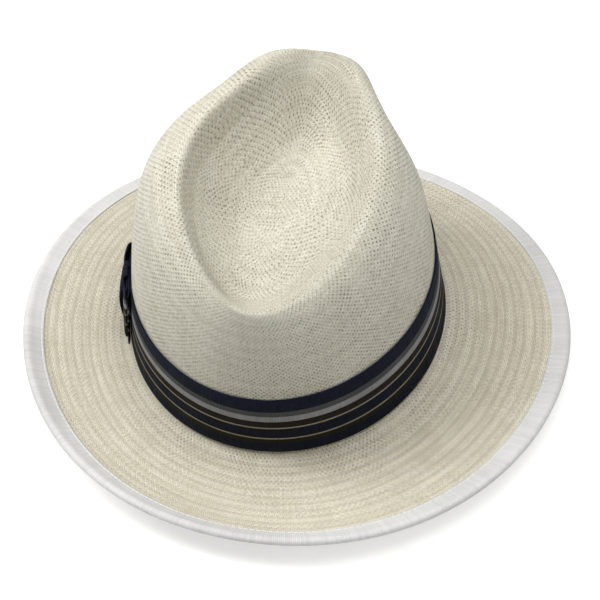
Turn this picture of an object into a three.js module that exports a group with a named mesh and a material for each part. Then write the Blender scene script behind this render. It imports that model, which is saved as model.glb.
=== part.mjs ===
// A straw fedora with a teardrop crown, a striped ribbon band with a side bow and a bound snap brim.
// Millimetres, +Z up, standing on a table: the front is -Y and the wearer's left is +X.
//
// Every ring of the hat starts as a LatheGeometry, flat or straight as the material is before it is
// blocked, and is then bent onto the hat by one of the "on..." functions. The angle round the hat
// runs from the back (0) over the wearer's left (90 degrees) to the front (180 degrees).
import * as THREE from 'three';

// ---- Driving dimensions (mm and degrees) ----

const HEAD_HALF_WIDTH = 86.5;
const HEAD_HALF_LENGTH = 102;
const STRAW_THICKNESS = 1.2;
const TOUCH_GAP = 0.3;

const CROWN = {
  backHeight: 94,
  frontHeight: 110.5,
  sideRise: 8.3,
  leftRise: 9.5,
  peakRise: 7,
  peakFromFront: 36,
  peakWidth: 21.2,
  crestHalfWidth: 66.5,
  crestHalfLength: 87,
  crestShift: [1.5, 5.5],
  backShift: -7,
  frontNarrowing: 0.564,
  backNarrowing: 0.42,
  nose: 2.6,
  noseWidth: 24,
  skewDegrees: -6,
  wallLean: 0.411,
  leanLeft: -0.115,
  leanBack: 0.12,
  shoulderPower: 5.7,
};

// The dent is a trough along the hat, steep on the left and gentle on the right.
const DENT = {
  centre: [3, 8],
  floorHeight: 80,
  foot: 20,
  frontFoot: -36,
  bendFoot: -10,
  frontBend: 0.545,
  backFoot: 25,
  backBend: 0.2,
  leftSlope: 0.95,
  leftEase: 0.0095,
  rightSlope: 0.3,
  frontSlope: 0.7,
  rounding: 7,
  lipStart: 0.77,
  lipLeft: 0.09,
};

const PINCH = {
  depth: 15.9,
  leftShare: 0.26,
  fromFrontDegrees: 48.2,
  widthDegrees: 19.5,
  heightShare: 0.927,
  tallShare: 0.22,
};

const BRIM = {
  width: 61.6,
  rightExtra: 0.085,
  liftFrontToBack: 18,
  liftLeft: 4,
  liftSides: 5,
  backFlip: 5,
  backFlipDegrees: 32,
  curlMean: 0.65,
  curlBack: 1.3,
  filletShare: 0.06,
  filletHeight: 3.5,
};

const BINDING = { width: 8.2, ribbon: 0.8, foldRoom: 1.6, roundShare: 0.6 };
const WIRE = { radius: 0.35, pastEdge: 0.66, sides: 6 };

const HATBAND = { bottom: 2.8, height: 38, ribbon: 0.8 };
const BOW = {
  atDegrees: 76,
  ribbon: 0.8,
  knotWidth: 11,
  knotReach: 6.2,
  knotOverhang: 0.9,
  knotCorner: 1.2,
  knotSwell: 0.5,
  frontLoop: 25,
  frontBulge: 3.6,
  backLoop: 15,
  backBulge: 2.2,
  loopStart: 0.5,
  foldBack: 2,
  foldThickness: 2.4,
  tailLength: 20,
  pinkingTeeth: 9,
  pinkingDepth: 2.4,
};

const SWEATBAND = { bottom: 2.6, height: 34, thickness: 1, gap: 0.5 };
const REED = { radius: 0.9, height: 1.2, sides: 8 };
const BACK_BOW = { halfLength: 14, halfHeight: 5, waist: 1.8, thickness: 1.2, atHeight: 12 };

// The hat stands on the front of its brim and on the back of the brim break.
const STANDING = { pitchDegrees: 4.6, openingHeight: 12.35, openingShift: [5.57, -0.72] };

const ROUND_SEGMENTS = 64;
const MM_PER_DEGREE = 1.76;
const NEAR_TIP = 0.05;
const NEAR_EDGE = 0.01;

// ---- The hat's shape, in the hat's own frame ----

const degrees = THREE.MathUtils.degToRad;
const lerp = THREE.MathUtils.lerp;

function breakPoint(angle) {
  return new THREE.Vector3(HEAD_HALF_WIDTH * Math.sin(angle), HEAD_HALF_LENGTH * Math.cos(angle), 0);
}

function breakNormal(angle) {
  const across = HEAD_HALF_LENGTH * Math.sin(angle);
  const along = HEAD_HALF_WIDTH * Math.cos(angle);
  return new THREE.Vector3(across, along, 0).normalize();
}

// 0 at the back, 1 at the front.
function frontness(angle) {
  return (1 - Math.cos(angle)) / 2;
}

// 1 on the two lines that stand this many degrees to either side of the front, fading over width.
function besideFront(angle, fromFront, width) {
  const away = THREE.MathUtils.radToDeg(Math.acos(-Math.cos(angle))) - fromFront;
  return Math.exp(-((away / width) ** 2));
}

// The value where it's positive and 0 where it's negative, with a rounded corner.
function ramp(value, rounding) {
  return (value + Math.hypot(value, rounding)) / 2;
}

// The crest is the rim of the dent: a teardrop in plan, higher in front, with two low peaks there.
function crestPoint(angle) {
  const front = frontness(angle);
  const sideways = Math.sin(angle);
  const narrowing = 1 - CROWN.frontNarrowing * front ** 1.5 - CROWN.backNarrowing * (1 - front) ** 2;
  const nose = CROWN.nose * besideFront(angle, 0, CROWN.noseWidth);
  const x = CROWN.crestShift[0] + CROWN.crestHalfWidth * sideways * narrowing
    + CROWN.backShift * (1 - front) ** 2;
  const y = CROWN.crestShift[1] + CROWN.crestHalfLength * Math.cos(angle) - nose;
  const height = lerp(CROWN.backHeight, CROWN.frontHeight, front)
    + CROWN.sideRise * sideways * sideways + CROWN.leftRise * sideways * Math.cos(angle / 2) ** 2
    + CROWN.peakRise * besideFront(angle, CROWN.peakFromFront, CROWN.peakWidth);
  const skew = degrees(CROWN.skewDegrees);
  return new THREE.Vector3(
    x * Math.cos(skew) - y * Math.sin(skew),
    x * Math.sin(skew) + y * Math.cos(skew),
    height,
  );
}

// How far the two finger pinches beside the front push the wall in.
function pinchDepth(angle, share) {
  const round = besideFront(angle, PINCH.fromFrontDegrees, PINCH.widthDegrees);
  const up = Math.exp(-(((share - PINCH.heightShare) / PINCH.tallShare) ** 2));
  const side = 1 + PINCH.leftShare * Math.sin(angle);
  return PINCH.depth * side * round * up * (1 - share ** 6);
}

// The crown's wall; share is 0 at the brim break and 1 at the crest.
function wallPoint(angle, share) {
  const foot = breakPoint(angle);
  const crest = crestPoint(angle);
  const shoulder = 1 - Math.sqrt(Math.max(0, 1 - share ** CROWN.shoulderPower));
  const lean = CROWN.wallLean + CROWN.leanLeft * Math.sin(angle) + CROWN.leanBack * Math.cos(angle);
  const inward = lean * share + (1 - lean) * shoulder;
  const point = foot.clone().lerp(crest, inward);
  point.z = crest.z * share;
  return point.addScaledVector(breakNormal(angle), -pinchDepth(angle, share));
}

// How high the trough stands at a place under the rim. It never comes above the rim.
function dentHeight(x, y, rim) {
  const forward = ramp(DENT.frontFoot - y, DENT.rounding);
  const backward = ramp(y - DENT.backFoot, DENT.rounding);
  const bent = DENT.frontBend * ramp(DENT.bendFoot - y, DENT.rounding) + DENT.backBend * backward;
  const left = x - DENT.foot + bent;
  const leftSlope = DENT.leftSlope - DENT.leftEase * backward;
  const height = DENT.floorHeight + DENT.frontSlope * forward
    + leftSlope * ramp(left, DENT.rounding / 2) + DENT.rightSlope * ramp(-left, DENT.rounding);
  return rim - ramp(rim - height, DENT.rounding);
}

// The dented top; share is 0 at the tip's centre and 1 at the crest.
function topPoint(angle, share) {
  const crest = crestPoint(angle);
  const x = lerp(DENT.centre[0], crest.x, share);
  const y = lerp(DENT.centre[1], crest.y, share);
  const lip = THREE.MathUtils.smoothstep(share, DENT.lipStart + DENT.lipLeft * Math.sin(angle), 1);
  return new THREE.Vector3(x, y, lerp(dentHeight(x, y, crest.z), crest.z, lip));
}

function brimWidth(angle) {
  return BRIM.width * (1 - BRIM.rightExtra * Math.sin(angle));
}

// How high the brim's edge stands over the brim break: up at the back, down in front.
function edgeLift(angle) {
  const fromBack = THREE.MathUtils.radToDeg(Math.acos(Math.cos(angle)));
  return BRIM.liftFrontToBack * Math.cos(angle) + BRIM.liftLeft * Math.sin(angle)
    - BRIM.liftSides * Math.cos(2 * angle)
    + BRIM.backFlip * Math.exp(-((fromBack / BRIM.backFlipDegrees) ** 2));
}

// The brim's upper side; share is 0 at the brim break and 1 at the edge.
function brimPoint(angle, share) {
  const lift = edgeLift(angle);
  const curl = BRIM.curlMean + BRIM.curlBack * Math.cos(angle);
  const reach = Math.sqrt(brimWidth(angle) ** 2 - lift ** 2);
  const point = breakPoint(angle).addScaledVector(breakNormal(angle), share * reach);
  point.z = lift * (share * (1 - curl) + curl * share * share);
  return point;
}

// The rounded corner between wall and brim; share is 0 on the wall and 1 on the brim.
function cornerPoint(angle, share) {
  const wall = wallPoint(angle, BRIM.filletHeight / crestPoint(angle).z);
  const corner = new THREE.QuadraticBezierCurve3(
    wall,
    breakPoint(angle),
    brimPoint(angle, BRIM.filletShare),
  );
  return corner.getPoint(share);
}

// The whole straw surface along one line from the tip's centre to the edge. The stretches are:
// 0..1 the dented top, 1..2 the wall, 2..3 the corner and 3..4 the brim.
function strawPoint(angle, stretch) {
  if (stretch <= 1) return topPoint(angle, stretch);
  if (stretch <= 2) {
    const lowest = BRIM.filletHeight / crestPoint(angle).z;
    const down = stretch - 1;
    return wallPoint(angle, 1 - (1 - lowest) * down * down);
  }
  if (stretch <= 3) return cornerPoint(angle, stretch - 2);
  return brimPoint(angle, lerp(BRIM.filletShare, 1, stretch - 3));
}

function normalFrom(pointAt, angle, along) {
  const step = 0.002;
  const round = pointAt(angle + step, along).sub(pointAt(angle - step, along));
  const outward = pointAt(angle, along + step).sub(pointAt(angle, along - step));
  return round.cross(outward).normalize();
}

// ---- Bending a part onto the hat ----

// depth is measured from the straw's outer side, positive outwards. The outward direction is taken
// a little inside the surface's two ends, where it can't be worked out.
function onStraw(angle, stretch, depth) {
  const point = strawPoint(angle, stretch);
  if (stretch === 0) return point.add(new THREE.Vector3(0, 0, depth));
  const inside = THREE.MathUtils.clamp(stretch, NEAR_TIP, 4 - NEAR_EDGE);
  return point.addScaledVector(normalFrom(strawPoint, angle, inside), depth);
}

function onWall(angle, height, depth) {
  const byHeight = (turn, z) => wallPoint(turn, z / crestPoint(turn).z);
  const outward = normalFrom(byHeight, angle, height).negate();
  return byHeight(angle, height).addScaledVector(outward, depth);
}

// distance runs along the brim from the brim break; past the edge it goes straight on.
function onBrim(angle, distance, depth) {
  const width = brimWidth(angle);
  const share = Math.min(distance / width, 1);
  const inside = Math.min(share, 1 - NEAR_EDGE);
  const tangent = brimPoint(angle, inside).sub(brimPoint(angle, inside - NEAR_EDGE)).normalize();
  const point = brimPoint(angle, share).addScaledVector(tangent, Math.max(distance - width, 0));
  return point.addScaledVector(normalFrom(brimPoint, angle, inside), depth);
}

// The same for a ring drawn round a brim of even width: radius is measured from its brim break.
function onEdge(angle, radius, depth) {
  return onBrim(angle, brimWidth(angle) + radius - BRIM.width, depth);
}

// ---- Standing the hat on the table ----

const standing = new THREE.Matrix4()
  .makeRotationX(-degrees(STANDING.pitchDegrees))
  .setPosition(STANDING.openingShift[0], STANDING.openingShift[1], STANDING.openingHeight);

// Bends a geometry with a function of (x, y, z), stands it up, and flattens what the table flattens.
function bend(geometry, bendPoint) {
  const position = geometry.attributes.position;
  for (let i = 0; i < position.count; i += 1) {
    const point = bendPoint(position.getX(i), position.getY(i), position.getZ(i));
    point.applyMatrix4(standing);
    position.setXYZ(i, point.x, point.y, Math.max(point.z, 0));
  }
  return facesOutward(geometry);
}

// Bending can turn a solid inside out. Its volume is then negative, and its faces are turned back.
function facesOutward(geometry) {
  const soup = geometry.index ? geometry.toNonIndexed() : geometry;
  const position = soup.attributes.position;
  const corners = [new THREE.Vector3(), new THREE.Vector3(), new THREE.Vector3()];
  let volume = 0;
  for (let i = 0; i < position.count; i += 3) {
    corners.forEach((corner, k) => corner.fromBufferAttribute(position, i + k));
    volume += corners[0].dot(corners[1].clone().cross(corners[2])) / 6;
  }
  for (let i = 0; volume < 0 && i < position.count; i += 3) {
    corners[1].fromBufferAttribute(position, i + 1);
    corners[2].fromBufferAttribute(position, i + 2);
    position.setXYZ(i + 1, ...corners[2]);
    position.setXYZ(i + 2, ...corners[1]);
  }
  soup.computeVertexNormals();
  return soup;
}

// A lathed ring or disc: each vertex gives its angle, its radius and its height to the function.
function bendLathe(profile, onHat) {
  const lathe = new THREE.LatheGeometry(profile, ROUND_SEGMENTS);
  return bend(lathe, (x, y, z) => onHat(Math.atan2(x, z), Math.hypot(x, z), y));
}

function steps(from, to, count) {
  return Array.from({ length: count + 1 }, (_, i) => lerp(from, to, i / count));
}

function fabric(color, roughness) {
  return new THREE.MeshStandardMaterial({ color, roughness, metalness: 0 });
}

function piece(name, geometry, material) {
  const mesh = new THREE.Mesh(geometry, material);
  mesh.name = name;
  return mesh;
}

// ---- Straw body: crown and brim woven in one ----

function strawBody() {
  const stretches = [...steps(0, 1, 9), ...steps(1, 2, 9), ...steps(2, 3, 2), ...steps(3, 4, 9)];
  const lines = stretches.filter((value, i) => i === 0 || value !== stretches[i - 1]);
  const upper = lines.map((stretch) => new THREE.Vector2(stretch, 0));
  const lower = lines.map((stretch) => new THREE.Vector2(stretch, -STRAW_THICKNESS)).reverse();
  return bendLathe([...upper, ...lower], onStraw);
}

// ---- Brim binding: a ribbon folded over the edge, with a wire in the fold ----

function brimBinding() {
  const start = -BINDING.width;
  const half = start / 2;
  const fold = BINDING.foldRoom;
  const above = TOUCH_GAP;
  const below = -STRAW_THICKNESS - TOUCH_GAP;
  const ribbon = BINDING.ribbon;
  const middle = (above + below) / 2;
  const profile = [
    [start, above],
    [start, above + ribbon],
    [half, above + ribbon],
    [0, above + ribbon],
    [fold, above + ribbon * BINDING.roundShare],
    [fold + ribbon, middle],
    [fold, below - ribbon * BINDING.roundShare],
    [0, below - ribbon],
    [half, below - ribbon],
    [start, below - ribbon],
    [start, below],
    [half, below],
    [0, below],
    [fold, middle],
    [0, above],
    [half, above],
    [start, above],
  ].map(([past, depth]) => new THREE.Vector2(BRIM.width + past, depth));
  return bendLathe(profile, onEdge);
}

function brimWire() {
  const profile = steps(0, 2 * Math.PI, WIRE.sides).map((turn) => new THREE.Vector2(
    BRIM.width + WIRE.pastEdge + WIRE.radius * Math.cos(turn),
    -STRAW_THICKNESS / 2 + WIRE.radius * Math.sin(turn),
  ));
  return bendLathe(profile, onEdge);
}

// ---- Rings round the crown: hatband, sweatband and reed ----

// The profile is drawn round a straight-sided head, and onWall leans it with the crown.
function crownRing(profile) {
  const points = profile.map(([depth, height]) => new THREE.Vector2(HEAD_HALF_WIDTH + depth, height));
  return bendLathe(points, (angle, radius, height) => onWall(angle, height, radius - HEAD_HALF_WIDTH));
}

function ribbonRing(bottom, height, insideDepth, thickness, rows) {
  const outside = insideDepth + thickness;
  const up = steps(bottom, bottom + height, rows).map((z) => [outside, z]);
  const down = steps(bottom + height, bottom, rows).map((z) => [insideDepth, z]);
  return crownRing([...up, ...down, up[0]]);
}

function hatband() {
  return ribbonRing(HATBAND.bottom, HATBAND.height, TOUCH_GAP, HATBAND.ribbon, 4);
}

function sweatband() {
  const { bottom, height, thickness, gap } = SWEATBAND;
  return ribbonRing(bottom, height, -STRAW_THICKNESS - gap - thickness, thickness, 3);
}

function sweatbandReed() {
  const middle = -STRAW_THICKNESS - SWEATBAND.gap - SWEATBAND.thickness / 2;
  return crownRing(steps(0, 2 * Math.PI, REED.sides).map((turn) => [
    middle + REED.radius * Math.cos(turn),
    REED.height + REED.radius * Math.sin(turn),
  ]));
}

// ---- The bow: drawn straight along the ribbon, then bent onto the crown ----

// along is measured from the knot's middle, positive towards the front of the hat.
function onBowPlace(along, depth, height) {
  return onWall(degrees(BOW.atDegrees + along / MM_PER_DEGREE), height, depth);
}

// A strip of ribbon seen edge-on: the outline follows a curve, half a thickness to each side.
function ribbonOutline(points, samples) {
  const path = new THREE.SplineCurve(points.map(([x, y]) => new THREE.Vector2(x, y)));
  const sides = [1, -1].map((side) => steps(0, 1, samples).map((t) => {
    const tangent = path.getTangent(t);
    const out = new THREE.Vector2(-tangent.y, tangent.x).multiplyScalar(side * BOW.ribbon / 2);
    return path.getPoint(t).add(out);
  }));
  return new THREE.Shape([...sides[0], ...sides[1].reverse()]);
}

// One loop of the bow, folded back over itself; towards is 1 for the front loop and -1 for the back.
function bowLoop(length, base, bulge, towards) {
  const fold = length - BOW.foldBack;
  const outline = ribbonOutline([
    [BOW.loopStart, base],
    [length * 0.35, base],
    [length * 0.7, base],
    [fold, base + 0.2],
    [length, base + BOW.foldThickness / 2],
    [fold, base + BOW.foldThickness],
    [length * 0.65, base + bulge * 0.85],
    [length * 0.4, base + bulge],
    [BOW.loopStart, base + bulge * 0.8],
  ].map(([along, depth]) => [along * towards, depth]), 22);
  const loop = new THREE.ExtrudeGeometry(outline, { depth: HATBAND.height, steps: 3, bevelEnabled: false });
  return bend(loop, (x, y, z) => onBowPlace(x, y, HATBAND.bottom + z));
}

function bowFrontLoop() {
  return bowLoop(BOW.frontLoop, ribbonLayer(1), BOW.frontBulge, 1);
}

function bowBackLoop() {
  return bowLoop(BOW.backLoop, ribbonLayer(2), BOW.backBulge, -1);
}

// The middle of the n-th layer of ribbon on the hatband, counted from the straw.
function ribbonLayer(n) {
  return TOUCH_GAP + HATBAND.ribbon / 2 + n * (HATBAND.ribbon + TOUCH_GAP);
}

// The knot wraps over both loops and is tucked in above and below the hatband.
function bowKnot() {
  const low = HATBAND.bottom - BOW.knotOverhang;
  const high = HATBAND.bottom + HATBAND.height + BOW.knotOverhang;
  const tuck = ribbonLayer(1) + TOUCH_GAP;
  const corner = BOW.knotCorner;
  const reach = BOW.knotReach;
  const outline = ribbonOutline([
    [low, tuck],
    [low, reach - corner],
    [low + corner, reach],
    [lerp(low, high, 0.2), reach + BOW.knotSwell * 0.7],
    [lerp(low, high, 0.5), reach + BOW.knotSwell],
    [lerp(low, high, 0.8), reach + BOW.knotSwell * 0.7],
    [high - corner, reach],
    [high, reach - corner],
    [high, tuck],
  ], 28);
  const wrap = new THREE.ExtrudeGeometry(outline, { depth: BOW.knotWidth, steps: 3, bevelEnabled: false });
  return bend(wrap, (x, y, z) => onBowPlace(z - BOW.knotWidth / 2, y, x));
}

// The ribbon's tail lies flat under the back loop, and its end is pinked in a zigzag.
function bowTail() {
  const rows = 2 * BOW.pinkingTeeth;
  const strip = new THREE.BoxGeometry(BOW.tailLength, BOW.ribbon, HATBAND.height, 6, 1, rows);
  const cutEnd = -BOW.tailLength / 2;
  return bend(strip, (x, y, z) => {
    const row = Math.round((z / HATBAND.height + 0.5) * rows);
    const notched = x <= cutEnd && row % 2 === 1;
    const along = x + cutEnd - BOW.loopStart + (notched ? BOW.pinkingDepth : 0);
    return onBowPlace(along, y + ribbonLayer(1), HATBAND.bottom + HATBAND.height / 2 + z);
  });
}

// ---- Small flat bow inside, over the sweatband's seam at the back ----

function sweatbandBow() {
  const { halfLength, halfHeight, waist, thickness, atHeight } = BACK_BOW;
  const bow = new THREE.BoxGeometry(2 * halfLength, thickness, 2 * halfHeight, 8, 1, 2);
  const inside = -STRAW_THICKNESS - SWEATBAND.gap - SWEATBAND.thickness - TOUCH_GAP - thickness / 2;
  return bend(bow, (x, y, z) => {
    const spread = lerp(waist / halfHeight, 1, Math.abs(x) / halfLength);
    return onWall(degrees(x / MM_PER_DEGREE), atHeight + z * spread, inside + y);
  });
}

// ---- The hat ----

const straw = fabric(0xe6dfcb, 0.75);
const bindingRibbon = fabric(0xd4d4d0, 0.8);
const stripedRibbon = fabric(0x1c2030, 0.7);
const bandCloth = fabric(0xe9e4d6, 0.85);
const steel = new THREE.MeshStandardMaterial({ color: 0x9a9a9a, roughness: 0.35, metalness: 1 });

const hat = new THREE.Group();
hat.add(
  piece('straw_body', strawBody(), straw),
  piece('brim_binding', brimBinding(), bindingRibbon),
  piece('brim_wire', brimWire(), steel),
  piece('hatband', hatband(), stripedRibbon),
  piece('bow_tail', bowTail(), stripedRibbon),
  piece('bow_back_loop', bowBackLoop(), stripedRibbon),
  piece('bow_front_loop', bowFrontLoop(), stripedRibbon),
  piece('bow_knot', bowKnot(), stripedRibbon),
  piece('sweatband', sweatband(), bandCloth),
  piece('sweatband_reed', sweatbandReed(), bandCloth),
  piece('sweatband_bow', sweatbandBow(), bandCloth),
);

export default hat;
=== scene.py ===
"""Looks of a woven straw fedora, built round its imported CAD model. Metres, in the row frame.

The hat's shape formulas are those of part.mjs, in millimetres in the hat's own frame: the origin is
the middle of the head opening, +Z goes up the crown, the front is -Y and the wearer's left is +X.
An angle round the hat runs from the back (0) over the wearer's left (90 degrees) to the front.
"""

import math

import bmesh
import bpy
import numpy as np
from mathutils import Matrix, Vector

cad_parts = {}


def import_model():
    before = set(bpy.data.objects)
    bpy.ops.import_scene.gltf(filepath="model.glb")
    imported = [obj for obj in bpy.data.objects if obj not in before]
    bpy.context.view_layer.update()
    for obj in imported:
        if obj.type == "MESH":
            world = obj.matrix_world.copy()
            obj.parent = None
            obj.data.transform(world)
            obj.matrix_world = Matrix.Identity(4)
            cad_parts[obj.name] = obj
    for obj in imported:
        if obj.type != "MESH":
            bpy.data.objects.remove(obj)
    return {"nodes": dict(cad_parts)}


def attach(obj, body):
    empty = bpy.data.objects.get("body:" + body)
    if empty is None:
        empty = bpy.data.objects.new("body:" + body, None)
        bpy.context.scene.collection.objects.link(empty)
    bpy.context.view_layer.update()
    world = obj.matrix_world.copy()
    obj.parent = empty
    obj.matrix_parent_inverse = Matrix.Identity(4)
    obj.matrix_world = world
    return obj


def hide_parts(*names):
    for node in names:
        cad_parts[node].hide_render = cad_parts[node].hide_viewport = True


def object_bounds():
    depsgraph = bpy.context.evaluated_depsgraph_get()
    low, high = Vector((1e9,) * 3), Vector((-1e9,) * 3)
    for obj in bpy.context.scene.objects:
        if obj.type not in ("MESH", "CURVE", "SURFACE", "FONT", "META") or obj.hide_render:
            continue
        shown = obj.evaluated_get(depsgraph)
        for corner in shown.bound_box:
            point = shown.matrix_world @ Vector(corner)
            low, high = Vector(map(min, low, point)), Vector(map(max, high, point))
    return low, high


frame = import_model()
cad_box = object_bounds()

MM = 0.001

# ---- The hat's form: the same driving dimensions as the CAD model (mm and degrees) ----

HEAD_HALF_WIDTH = 86.5
HEAD_HALF_LENGTH = 102
STRAW_THICKNESS = 1.2

CROWN_BACK = 94
CROWN_FRONT = 110.5
CREST_SIDE_RISE = 8.3
CREST_LEFT_RISE = 9.5
CREST_HALF_WIDTH = 66.5
CREST_HALF_LENGTH = 87
CREST_SHIFT = (1.5, 5.5)
CREST_BACK_SHIFT = -7
CREST_FRONT_NARROWING = 0.564
CREST_BACK_NARROWING = 0.42
CREST_SKEW = math.radians(-6)
CREST_NOSE = 2.6
CREST_NOSE_WIDTH = 24
PEAK_RISE = 7
PEAK_FROM_FRONT = 36
PEAK_WIDTH = 21.2
WALL_LEAN = 0.411
WALL_LEAN_LEFT = -0.115
WALL_LEAN_BACK = 0.12
SHOULDER_POWER = 5.7

DENT_CENTRE = (3, 8)
DENT_FLOOR = 80
DENT_FOOT = 20
DENT_FRONT_FOOT = -36
DENT_BEND_FOOT = -10
DENT_FRONT_BEND = 0.545
DENT_BACK_FOOT = 25
DENT_BACK_BEND = 0.2
DENT_LEFT_SLOPE = 0.95
DENT_LEFT_EASE = 0.0095
DENT_RIGHT_SLOPE = 0.3
DENT_FRONT_SLOPE = 0.7
DENT_ROUND = 7
DENT_LIP_START = 0.77
DENT_LIP_LEFT = 0.09

PINCH_DEPTH = 15.9
PINCH_LEFT = 0.26
PINCH_FROM_FRONT = 48.2
PINCH_WIDTH = 19.5
PINCH_SHARE = 0.927
PINCH_TALL = 0.22

BRIM_WIDTH = 61.6
BRIM_RIGHT_EXTRA = 0.085
LIFT_FRONT_TO_BACK = 18
LIFT_LEFT = 4
LIFT_SIDES = 5
BACK_FLIP = 5
BACK_FLIP_DEGREES = 32
CURL_MEAN = 0.65
CURL_BACK = 1.3
FILLET_SHARE = 0.06
FILLET_HEIGHT = 3.5

STANDING_PITCH = math.radians(4.6)
OPENING_AT = (5.57, -0.72, 12.35)

HEAD_ROUND_MM = 592
BAND_BOTTOM = 2.8
BAND_HEIGHT = 38
RIBBON = 0.75
KNOT_WIDTH = 11
KNOT_REACH = 5.9
PINKING_TEETH = 9
PINKING_DEPTH = 2.4
PLEATS = 3

SWEATBAND_BOTTOM = 2.6
SWEATBAND_HEIGHT = 34
SWEATBAND_THICKNESS = 0.9
SWEATBAND_GAP = 0.5
REED_RADIUS = 0.9
REED_HEIGHT = 1.2
BACK_BOW_HALF = 14
BACK_BOW_HEIGHT = 12
BACK_BOW_WAIST = 1.9
BACK_BOW_END = 5
BACK_BOW_THICKNESS = 0.7

BOW_AT = 76
MM_PER_DEGREE = 1.76


def stack(*coordinates):
    return np.stack(np.broadcast_arrays(*coordinates), axis=-1).astype(float)


def unit(vectors):
    return vectors / np.linalg.norm(vectors, axis=-1, keepdims=True)


def blend(a, b, share):
    return a + (b - a) * share


def bell(value, width):
    return np.exp(-((value / width) ** 2))


def degrees_from_back(angle):
    return np.degrees(np.arccos(np.clip(np.cos(angle), -1, 1)))


def ramp(value, rounding):
    """The value where it's positive and 0 where it's negative, with a rounded corner."""
    return (value + np.sqrt(value * value + rounding * rounding)) / 2


def beside_front(angle, from_front, width):
    return bell(180 - degrees_from_back(angle) - from_front, width)


def break_point(angle):
    return stack(HEAD_HALF_WIDTH * np.sin(angle), HEAD_HALF_LENGTH * np.cos(angle), 0 * angle)


def break_normal(angle):
    return unit(stack(HEAD_HALF_LENGTH * np.sin(angle), HEAD_HALF_WIDTH * np.cos(angle), 0 * angle))


def frontness(angle):
    return (1 - np.cos(angle)) / 2


def crest_point(angle):
    """The rim of the dent: a teardrop in plan, higher in front, with two low peaks there."""
    front = frontness(angle)
    narrowing = 1 - CREST_FRONT_NARROWING * front**1.5 - CREST_BACK_NARROWING * (1 - front) ** 2
    nose = CREST_NOSE * beside_front(angle, 0, CREST_NOSE_WIDTH)
    x = CREST_SHIFT[0] + CREST_HALF_WIDTH * np.sin(angle) * narrowing
    x += CREST_BACK_SHIFT * (1 - front) ** 2
    y = CREST_SHIFT[1] + CREST_HALF_LENGTH * np.cos(angle) - nose
    height = (
        blend(CROWN_BACK, CROWN_FRONT, front)
        + CREST_SIDE_RISE * np.sin(angle) ** 2
        + CREST_LEFT_RISE * np.sin(angle) * np.cos(angle / 2) ** 2
        + PEAK_RISE * beside_front(angle, PEAK_FROM_FRONT, PEAK_WIDTH)
    )
    across = x * math.cos(CREST_SKEW) - y * math.sin(CREST_SKEW)
    along = x * math.sin(CREST_SKEW) + y * math.cos(CREST_SKEW)
    return stack(across, along, height)


def pinch_depth(angle, share):
    """How far the two finger pinches beside the front push the wall in."""
    up = bell(share - PINCH_SHARE, PINCH_TALL) * (1 - share**6)
    side = 1 + PINCH_LEFT * np.sin(angle)
    return PINCH_DEPTH * side * beside_front(angle, PINCH_FROM_FRONT, PINCH_WIDTH) * up


def wall_point(angle, share):
    """The crown's wall; share is 0 at the brim break and 1 at the crest."""
    foot, crest = break_point(angle), crest_point(angle)
    shoulder = 1 - np.sqrt(np.maximum(0, 1 - share**SHOULDER_POWER))
    lean = WALL_LEAN + WALL_LEAN_LEFT * np.sin(angle) + WALL_LEAN_BACK * np.cos(angle)
    inward = lean * share + (1 - lean) * shoulder
    point = blend(foot, crest, inward[..., None])
    point[..., 2] = crest[..., 2] * share
    return point - break_normal(angle) * pinch_depth(angle, share)[..., None]


def dent_height(x, y, rim):
    """A trough along the hat: steep on the left, gentle on the right, climbing to the front."""
    forward = ramp(DENT_FRONT_FOOT - y, DENT_ROUND)
    backward = ramp(y - DENT_BACK_FOOT, DENT_ROUND)
    bent = DENT_FRONT_BEND * ramp(DENT_BEND_FOOT - y, DENT_ROUND) + DENT_BACK_BEND * backward
    left = x - DENT_FOOT + bent
    left_slope = DENT_LEFT_SLOPE - DENT_LEFT_EASE * backward
    sides = left_slope * ramp(left, DENT_ROUND / 2) + DENT_RIGHT_SLOPE * ramp(-left, DENT_ROUND)
    height = DENT_FLOOR + DENT_FRONT_SLOPE * forward + sides
    return rim - ramp(rim - height, DENT_ROUND)


def top_point(angle, share):
    """The dented top; share is 0 at the tip's centre and 1 at the crest."""
    crest = crest_point(angle)
    x = blend(DENT_CENTRE[0], crest[..., 0], share)
    y = blend(DENT_CENTRE[1], crest[..., 1], share)
    start = DENT_LIP_START + DENT_LIP_LEFT * np.sin(angle)
    lip = np.clip((share - start) / (1 - start), 0, 1)
    lip = lip * lip * (3 - 2 * lip)
    return stack(x, y, blend(dent_height(x, y, crest[..., 2]), crest[..., 2], lip))


def brim_width(angle):
    return BRIM_WIDTH * (1 - BRIM_RIGHT_EXTRA * np.sin(angle))


def edge_lift(angle):
    """How high the brim's edge stands over the brim break: up at the back, down in front."""
    return (
        LIFT_FRONT_TO_BACK * np.cos(angle)
        + LIFT_LEFT * np.sin(angle)
        - LIFT_SIDES * np.cos(2 * angle)
        + BACK_FLIP * bell(degrees_from_back(angle), BACK_FLIP_DEGREES)
    )


def brim_point(angle, share):
    """The brim's upper side; share is 0 at the brim break and 1 at the edge."""
    lift = edge_lift(angle)
    curl = CURL_MEAN + CURL_BACK * np.cos(angle)
    reach = np.sqrt(brim_width(angle) ** 2 - lift**2)
    point = break_point(angle) + break_normal(angle) * (share * reach)[..., None]
    point[..., 2] = lift * (share * (1 - curl) + curl * share * share)
    return point


def corner_point(angle, share):
    """The rounded corner between wall and brim; share is 0 on the wall and 1 on the brim."""
    wall = wall_point(angle, FILLET_HEIGHT / crest_point(angle)[..., 2])
    brim = brim_point(angle, FILLET_SHARE + 0 * angle)
    share = share[..., None]
    return wall * (1 - share) ** 2 + break_point(angle) * 2 * share * (1 - share) + brim * share**2


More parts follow.
